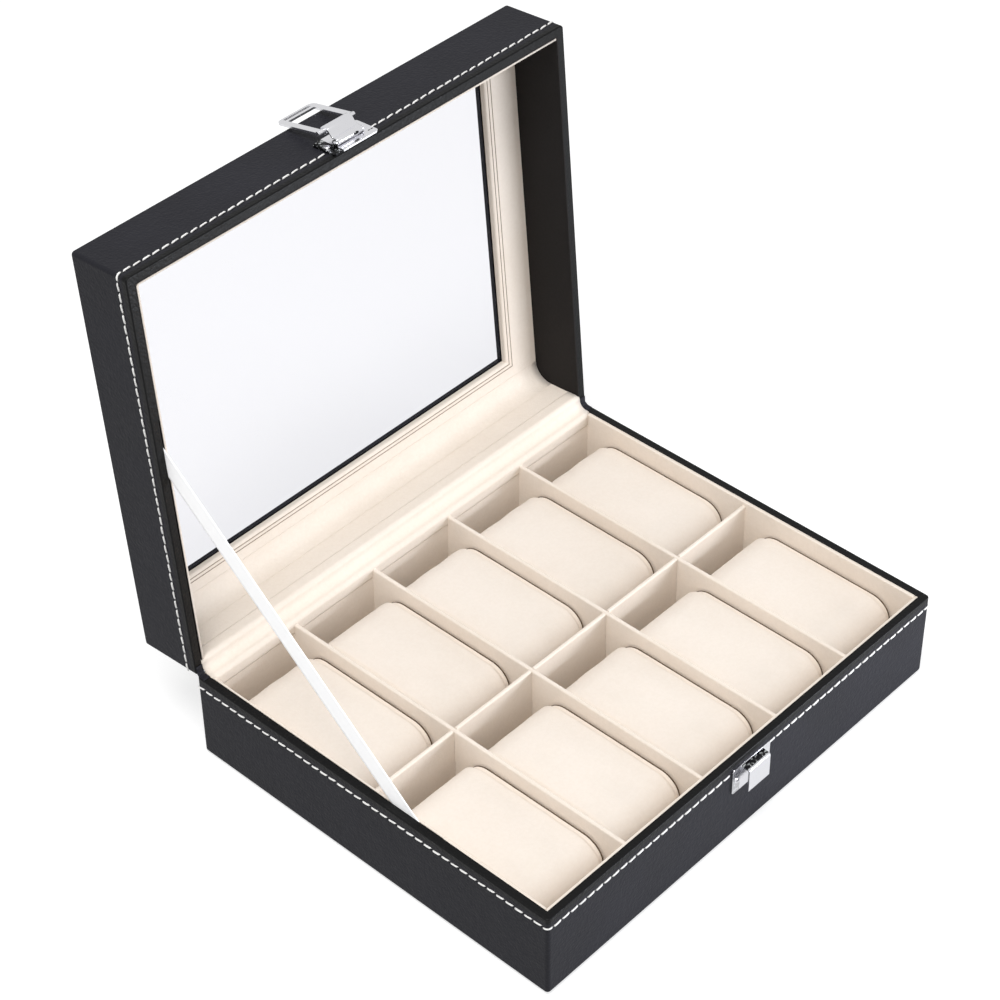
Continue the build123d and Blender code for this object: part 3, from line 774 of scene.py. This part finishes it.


# Hinge tucks
# At both ends of the hinge the covering's spare corner is folded inwards over the two rims and glued
# down. It shows beside the velvet as a small crumpled tuck.
tuck_reach = 4.5 * MM
tuck_inset = 1.0 * MM
tuck_bend = 0.3 * MM
tuck_thickness = 0.14 * MM
tuck_crumple = 0.45 * MM
tuck_columns = 16
tuck_inner = cloth_half + 0.15 * MM
tuck_outer = float(tray_high[0]) - 0.3 * MM
tuck_corners = [(hinge[1] - tuck_reach, tray_top), (hinge[1] - tuck_inset, tray_top),
                from_lid([0, -tuck_inset, lid_edge])[1:], from_lid([0, -tuck_reach, lid_edge])[1:]]
tuck_profile = bend_path(tuck_corners, (tuck_bend, tuck_bend))
for name, tuck_ends in (("left", (-tuck_outer, -tuck_inner)), ("right", (tuck_inner, tuck_outer))):
    tuck = strip(f"hinge_tuck_{name}", tuck_profile, tuck_ends, tuck_thickness, spine_leather,
                 tuck_columns, tuck_crumple)
    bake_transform(tuck)


# Ribbon stay
# White satin ribbon from a slit in the tray's left lining to a slit in the lid's left facing, glued
# behind both. It stops the lid and is tight with the lid open, and its edges are woven into a cord.
ribbon_width = 10.0 * MM
ribbon_thick = 0.24 * MM
ribbon_rows = 121
ribbon_columns = 13
ribbon_low, ribbon_high = (np.array(corner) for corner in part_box("ribbon_stay"))
ribbon_x = (ribbon_low[0] + ribbon_high[0]) / 2
ribbon_middle = (ribbon_low + ribbon_high) / 2

# Only the slanted band's corners touch its node's box, so its slope and its length are found in steps.
ribbon_angle = math.atan2(ribbon_high[2] - ribbon_low[2], ribbon_high[1] - ribbon_low[1])
for _ in range(20):
    flat_run = ribbon_high[1] - ribbon_low[1] - ribbon_width * math.sin(ribbon_angle)
    tall_run = ribbon_high[2] - ribbon_low[2] - ribbon_width * math.cos(ribbon_angle)
    ribbon_angle = math.atan2(tall_run, flat_run)
ribbon_length = math.hypot(flat_run, tall_run)


def ribbon_grid():
    """A closed band: t runs along it and w across. Its half thickness grows by the twelfth power of w,
    so that the edges swell into a thin woven cord."""
    t = np.linspace(-0.5, 0.5, ribbon_rows) * ribbon_length
    w = np.linspace(-1, 1, ribbon_columns)
    half_thick = (1 + 0.5 * np.abs(w) ** 12) * 0.5
    loop = np.concatenate([np.stack([w, half_thick], -1), np.stack([w, -half_thick], -1)[::-1]])
    run = np.array([math.cos(ribbon_angle), math.sin(ribbon_angle)])
    up = np.array([-run[1], run[0]])
    width = loop[:, 0] * ribbon_width / 2
    grid = np.empty((ribbon_rows, len(loop), 3))
    grid[..., 0] = ribbon_x + loop[:, 1] * ribbon_thick
    grid[..., 1] = ribbon_middle[1] + t[:, None] * run[0] + width * up[0]
    grid[..., 2] = ribbon_middle[2] + t[:, None] * run[1] + width * up[1]
    return closed_ends(grid)


# The faint glow stands for light that comes through the thin satin from behind.
satin = Finish("ribbon_satin")
satin_ribs = satin.node("ShaderNodeTexWave", {"bands_direction": "Z"},
                        {"Vector": satin.place(), "Scale": 420.0, "Distortion": 0.6})
satin.set(
    Base_Color=satin.colour(satin_ribs, rgb(0.93, 0.93, 0.94), rgb(0.99, 0.99, 0.99)),
    Roughness=satin_ribs * 0.1 + 0.42,
    Sheen_Weight=0.3,
    Emission_Color=rgb(1, 1, 1),
    Emission_Strength=0.27,
    Normal=satin.bump(satin_ribs, 0.05 * MM, 0.3),
)
ribbon = piece_from_grids("ribbon", [ribbon_grid()], satin.material, close_columns=True)
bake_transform(ribbon)
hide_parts("ribbon_stay")


# Latch and catch
# Stamped steel, bright plated: plate, lever, loop, catch and nails. The two plates are nailed through
# the covering. Edges are tumbled round, and the plating has a faint haze and hairline marks.
steel_light = rgb(0.93, 0.93, 0.96)
# The dark steel colour is painted shade and painted dark reflection, and its flecks are painted glints.
steel_painted_shade = rgb(0.016, 0.016, 0.018)
steel_painted_glint = rgb(0.60, 0.62, 0.62)
edge_round = 0.14 * MM
bevel_angle = math.radians(35)
flange_edge = -7.4 * MM
flange_blur = 0.3 * MM
along_hinge = (1, 0, 0)
hinge_rise = float(hinge @ lid_up)


def bright_steel(name):
    """Haze from soft noise and hairlines from stretched noise. Returns the finish and its place."""
    finish = Finish(name)
    place = finish.place()
    haze = finish.noise(place, 160.0, 4.0)
    stretched = finish.node("ShaderNodeMapping", None, {"Vector": place, "Scale": (60.0, 900.0, 900.0)})
    marks = finish.noise(stretched, 3.0, 3.0)
    finish.set(
        Base_Color=steel_light,
        Metallic=1.0,
        Roughness=haze * 0.10 + marks * 0.08 + 0.10,
        Normal=finish.bump(marks, 0.02 * MM, 0.25),
    )
    return finish, place


def paint_shade_and_glints(finish, place, shade_mask):
    """Paints shade and dark reflections into steel by a mask, with small bright flecks in it as painted
    glints.
    """
    painted_glints = finish.noise(place, 620.0, 3.0).ramp(0.52, 0.60)
    dark = finish.colour(painted_glints, steel_painted_shade, steel_painted_glint)
    return finish.set(Base_Color=finish.colour(shade_mask, steel_light, dark))


def left_flange(finish, place):
    """A mask of a plate's left flange, where the steel is painted dark as a painted reflection."""
    return 1 - finish.along(place, along_hinge).ramp(flange_edge - flange_blur, flange_edge)


# The catch bends out from the tray's front into a ledge, painted dark between its edges as a painted
# reflection of the black covering above, with painted glints. Its left flange is painted a little
# dark as a painted reflection too.
ledge_root = (0.9 * MM, 1.3 * MM)
ledge_tip = (4.1 * MM, 4.6 * MM)
flange_share = 0.35
catch_finish, catch_place = bright_steel("bright_steel_catch")
catch_out = catch_finish.along(catch_place, (0, -1, 0)) + float(tray_low[1])
catch_bend = catch_out.ramp(*ledge_root) * (1 - catch_out.ramp(*ledge_tip))
catch_flange = left_flange(catch_finish, catch_place) * (1 - catch_bend) * flange_share
catch_chrome = paint_shade_and_glints(catch_finish, catch_place, catch_bend + catch_flange)

# The latch plate has a punched slot, right of its middle and just over the rim, drawn only as painted
# shade with painted glints; its left flange is painted dark as a painted reflection.
slot_x = 11.0 * MM
slot_rise = 3.7 * MM
slot_half_long = (1.3 * MM, 1.5 * MM)
slot_half_wide = (0.25 * MM, 0.4 * MM)
plate_finish, plate_place = bright_steel("bright_steel_plate")
slot_across = abs(plate_finish.along(plate_place, along_hinge) - slot_x)
slot_line = abs(plate_finish.along(plate_place, lid_up) - hinge_rise - slot_rise)
slot_shade_mask = (1 - slot_across.ramp(*slot_half_long)) * (1 - slot_line.ramp(*slot_half_wide))
plate_chrome = paint_shade_and_glints(plate_finish, plate_place, left_flange(plate_finish, plate_place) + slot_shade_mask)

# The loop's far bar has a pressed groove, painted dark as painted shade in the recess, with painted glints.
groove_from_end = 2.35 * MM
groove_half_wide = (0.40 * MM, 0.60 * MM)
groove_half_long = (7.2 * MM, 7.6 * MM)
loop_bar = np.array(joints["latch_loop_pivot"]["pos_m"])
loop_points = node_points("latch_loop") - loop_bar
loop_far = loop_points[np.argmax(np.linalg.norm(loop_points[:, 1:], axis=1))] * (0, 1, 1)
loop_reach = float(np.linalg.norm(loop_far))
loop_way = loop_far / loop_reach
loop_finish, loop_place = bright_steel("bright_steel_loop")
loop_along = loop_finish.along(loop_place, loop_way) - float(loop_bar @ loop_way)
loop_across = abs(loop_finish.along(loop_place, along_hinge))
groove_line = abs(loop_along - (loop_reach - groove_from_end))
groove_shade_mask = (1 - groove_line.ramp(*groove_half_wide)) * (1 - loop_across.ramp(*groove_half_long))
loop_chrome = paint_shade_and_glints(loop_finish, loop_place, groove_shade_mask)

# The lever's curl has a punched oval, right of its middle, drawn only as painted shade with painted glints.
hole_x = 3.2 * MM
hole_stand = 2.6 * MM
hole_rise = 5.0 * MM
hole_half_long = 1.5 * MM
hole_half_wide = 0.75 * MM
hole_blur = 0.1 * MM
hole_edge = (0.75, 1.1)
hole_out_at = float(hinge @ -lid_back) - float(lid_low[1]) + hole_stand
lever_finish, lever_place = bright_steel("bright_steel_lever")
hole_across = (lever_finish.along(lever_place, along_hinge) - hole_x) * (1 / hole_half_long)
hole_out = (lever_finish.along(lever_place, -lid_back) - hole_out_at) * (1 / hole_half_wide)
lever_rise = lever_finish.along(lever_place, lid_up) - hinge_rise
hole_front = 1 - lever_rise.ramp(hole_rise, hole_rise + hole_blur)
hole_shade_mask = 1 - (hole_across * hole_across + hole_out * hole_out).ramp(*hole_edge)
lever_chrome = paint_shade_and_glints(lever_finish, lever_place, hole_shade_mask * hole_front)

chrome = bright_steel("bright_steel")[0].material
own_chrome = {"catch_plate": catch_chrome, "latch_plate": plate_chrome, "latch_loop": loop_chrome,
              "latch_lever": lever_chrome}
for name in nodes:
    if name.startswith(("latch_", "catch_")):
        refinish(name, own_chrome.get(name, chrome))
        weld = nodes[name].modifiers.new("join_facets", "WELD")
        weld.merge_threshold = 1e-6
        round_edges = nodes[name].modifiers.new("tumbled_edges", "BEVEL")
        round_edges.width = edge_round
        round_edges.segments = 2
        round_edges.limit_method = "ANGLE"
        round_edges.angle_limit = bevel_angle
        round_edges.harden_normals = True


# Floor, light and camera
# A plain pale floor, a large soft light overhead, a low one in front and a weak one to the left. The
# camera stands where the photograph was taken from.
floor_half = 6.0
floor_level = -0.2 * MM
floor_seen = rgb(0.67, 0.67, 0.67)
floor_mirrored = rgb(0.30, 0.30, 0.30)
floor_finish = Finish("floor_pale")
on_camera = floor_finish.node("ShaderNodeLightPath", output="Is Camera Ray")
on_glossy = floor_finish.node("ShaderNodeLightPath", output="Is Glossy Ray")
mirror_glow = floor_finish.colour(on_glossy, rgb(0.0, 0.0, 0.0), floor_mirrored)
floor_finish.set(
    Base_Color=rgb(0.48, 0.48, 0.48),
    Roughness=0.9,
    Specular_IOR_Level=0.0,
    Emission_Color=floor_finish.colour(on_camera, mirror_glow, floor_seen),
    Emission_Strength=1.0,
)
floor_ends = (-floor_half, floor_half)
floor_grid = np.array([[[x, y, floor_level] for y in floor_ends] for x in floor_ends])
floor = piece_from_grids("floor", [floor_grid], floor_finish.material, weld=0)

# The world is one level of white, brighter where metal and glass mirror it.
sky_plain = 0.48
sky_mirrored = 0.72
world = bpy.data.worlds.new("studio")
bpy.context.scene.world = world
world.use_nodes = True
sky = world.node_tree.nodes["Background"]
sky.inputs["Color"].default_value = rgb(1.0, 1.0, 1.0)
sky_ray = world.node_tree.nodes.new("ShaderNodeLightPath")
sky_level = world.node_tree.nodes.new("ShaderNodeMapRange")
sky_level.inputs["To Min"].default_value = sky_plain
sky_level.inputs["To Max"].default_value = sky_mirrored
world.node_tree.links.new(sky_ray.outputs["Is Glossy Ray"], sky_level.inputs["Value"])
world.node_tree.links.new(sky_level.outputs[0], sky.inputs["Strength"])


def lamp(name, place, size, power, colour=(1.0, 1.0, 1.0)):
    """A square soft light that faces the middle of the box."""
    data = bpy.data.lights.new(name, "AREA")
    data.color = colour
    data.shape = "SQUARE"
    data.size = size
    data.energy = power
    made = bpy.data.objects.new(name, data)
    bpy.context.scene.collection.objects.link(made)
    made.location = place
    made.rotation_euler = (box_middle - Vector(place)).to_track_quat("-Z", "Y").to_euler()


box_middle = Vector((0, 0, 0.08))
lamp("key", (-0.55, -0.20, 1.90), 0.8, 23.0)
lamp("front", (0.30, -0.55, 0.04), 0.3, 5.2, (0.88, 0.92, 1.0))
lamp("fill", (-1.5, -0.2, 1.1), 1.2, 3.0)

camera_place = (-0.6534, -0.5729, 0.8752)
view_right = (0.6788, -0.7343, -0.0090)
view_up = (0.4845, 0.4386, 0.7569)
view_back = (-0.5519, -0.5181, 0.6535)
camera_data = bpy.data.cameras.new("camera")
camera_data.sensor_width = 36.0
camera_data.lens = 98.1
camera_data.clip_start = 0.05
camera_data.clip_end = 50.0
camera = bpy.data.objects.new("camera", camera_data)
bpy.context.scene.collection.objects.link(camera)
turn = Matrix((view_right, view_up, view_back)).transposed().to_4x4()
camera.matrix_world = Matrix.Translation(camera_place) @ turn
bpy.context.scene.camera = camera
bpy.context.scene.view_settings.view_transform = "Standard"
